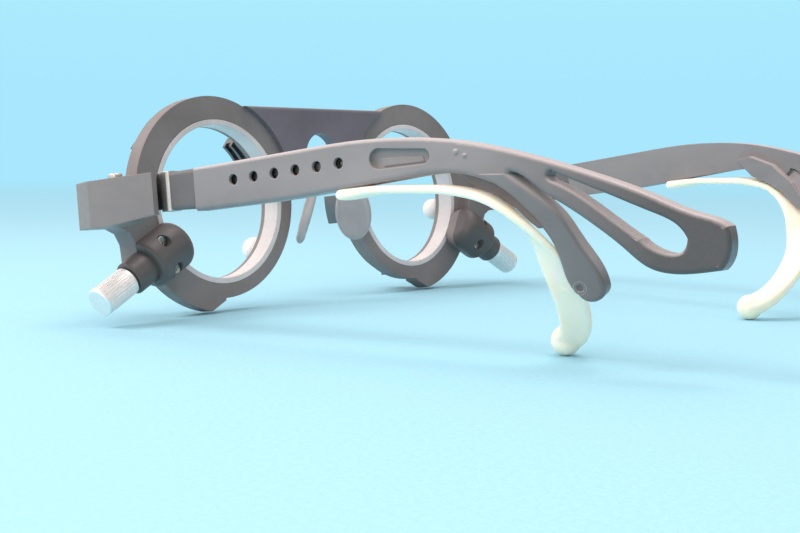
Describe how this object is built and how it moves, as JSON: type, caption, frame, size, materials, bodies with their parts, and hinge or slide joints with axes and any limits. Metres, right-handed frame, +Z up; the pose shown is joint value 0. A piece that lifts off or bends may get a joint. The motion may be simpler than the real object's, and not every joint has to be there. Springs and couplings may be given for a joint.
{
  "type": "optical trial frame",
  "caption": "Lightweight fixed-width trial frame with turning lens cells, geared axis knobs, folding length-adjustable temples and soft ear hooks.",
  "frame": {"origin": "centre of the bounding box at the floor, as the frame rests on its lower rims and ear-hook balls", "axes": "+X the wearer's left, +Y back along the temples, +Z up"},
  "size_m": [0.1446, 0.1496, 0.0497],
  "materials": {
    "frame_plastic": "satin moulded",
    "bridge_plastic": "satin moulded",
    "dark_plastic": "satin moulded",
    "steel": "bright",
    "knob_metal": "satin bright",
    "soft_silicone": "matte translucent",
    "clear_silicone": "translucent"
  },
  "bodies": {
    "front": {"bridge": "bridge_plastic", "bridge_screws": "steel", "ring_housing_left": "frame_plastic", "bezel_left": "frame_plastic", "bezel_screws_left": "steel", "gear_cover_left": "dark_plastic", "cover_screws_left": "steel", "shaft_bushing_left": "dark_plastic", "nose_pad_left": "clear_silicone", "hinge_pin_left": "steel", "ring_housing_right": "frame_plastic", "bezel_right": "frame_plastic", "bezel_screws_right": "steel", "gear_cover_right": "dark_plastic", "cover_screws_right": "steel", "shaft_bushing_right": "dark_plastic", "nose_pad_right": "clear_silicone", "hinge_pin_right": "steel"},
    "lens_cell_left": {"lens_cell_left": "frame_plastic", "clip_ring_left": "frame_plastic", "clip_ring_screws_left": "steel", "lens_holders_left": "steel", "spring_clip_left": "steel", "clip_ball_left": "knob_metal", "holder_pins_left": "steel"},
    "axis_knob_left": {"knob_shaft_left": "steel", "knob_cap_left": "knob_metal"},
    "tongue_left": {"hinge_tongue_left": "steel", "tongue_ferrule_left": "steel", "tongue_collar_left": "frame_plastic", "detent_spring_left": "steel"},
    "temple_left": {"temple_bar_left": "frame_plastic", "ear_hook_left": "soft_silicone", "hook_pin_left": "dark_plastic"},
    "lens_cell_right": {"lens_cell_right": "frame_plastic", "clip_ring_right": "frame_plastic", "clip_ring_screws_right": "steel", "lens_holders_right": "steel", "spring_clip_right": "steel", "clip_ball_right": "knob_metal", "holder_pins_right": "steel"},
    "axis_knob_right": {"knob_shaft_right": "steel", "knob_cap_right": "knob_metal"},
    "tongue_right": {"hinge_tongue_right": "steel", "tongue_ferrule_right": "steel", "tongue_collar_right": "frame_plastic", "detent_spring_right": "steel"},
    "temple_right": {"temple_bar_right": "frame_plastic", "ear_hook_right": "soft_silicone", "hook_pin_right": "dark_plastic"}
  },
  "joints": [
    {"name": "lens_cell_left", "type": "hinge", "parent": "front", "child": "lens_cell_left", "pos_m": [0.033, -0.06131, 0.02552], "axis": [0, 0.9942, 0.108], "continuous": true},
    {"name": "axis_knob_left", "type": "hinge", "parent": "front", "child": "axis_knob_left", "pos_m": [0.06376, -0.05672, 0.00922], "axis": [0.8788, 0.0515, -0.4744], "continuous": true},
    {"name": "temple_fold_left", "type": "hinge", "parent": "front", "child": "tongue_left", "pos_m": [0.0687, -0.05266, 0.02646], "axis": [0, -0.108, 0.9942], "range_deg": [0, 75]},
    {"name": "temple_length_left", "type": "slide", "parent": "tongue_left", "child": "temple_left", "axis": [0.1564, -0.979, -0.131], "range_m": [-0.02475, 0]},
    {"name": "lens_cell_right", "type": "hinge", "parent": "front", "child": "lens_cell_right", "pos_m": [-0.033, -0.06131, 0.02552], "axis": [0, 0.9942, 0.108], "continuous": true},
    {"name": "axis_knob_right", "type": "hinge", "parent": "front", "child": "axis_knob_right", "pos_m": [-0.06376, -0.05672, 0.00922], "axis": [-0.8788, 0.0515, -0.4744], "continuous": true},
    {"name": "temple_fold_right", "type": "hinge", "parent": "front", "child": "tongue_right", "pos_m": [-0.0687, -0.05266, 0.02646], "axis": [0, 0.108, -0.9942], "range_deg": [0, 58]},
    {"name": "temple_length_right", "type": "slide", "parent": "tongue_right", "child": "temple_right", "axis": [-0.1564, -0.979, -0.131], "range_m": [-0.02475, 0]}
  ],
  "couplings": [
    {"joint": "axis_knob_left", "follows": "lens_cell_left", "ratio": 4.6667},
    {"joint": "axis_knob_right", "follows": "lens_cell_right", "ratio": 4.6667}
  ]
}
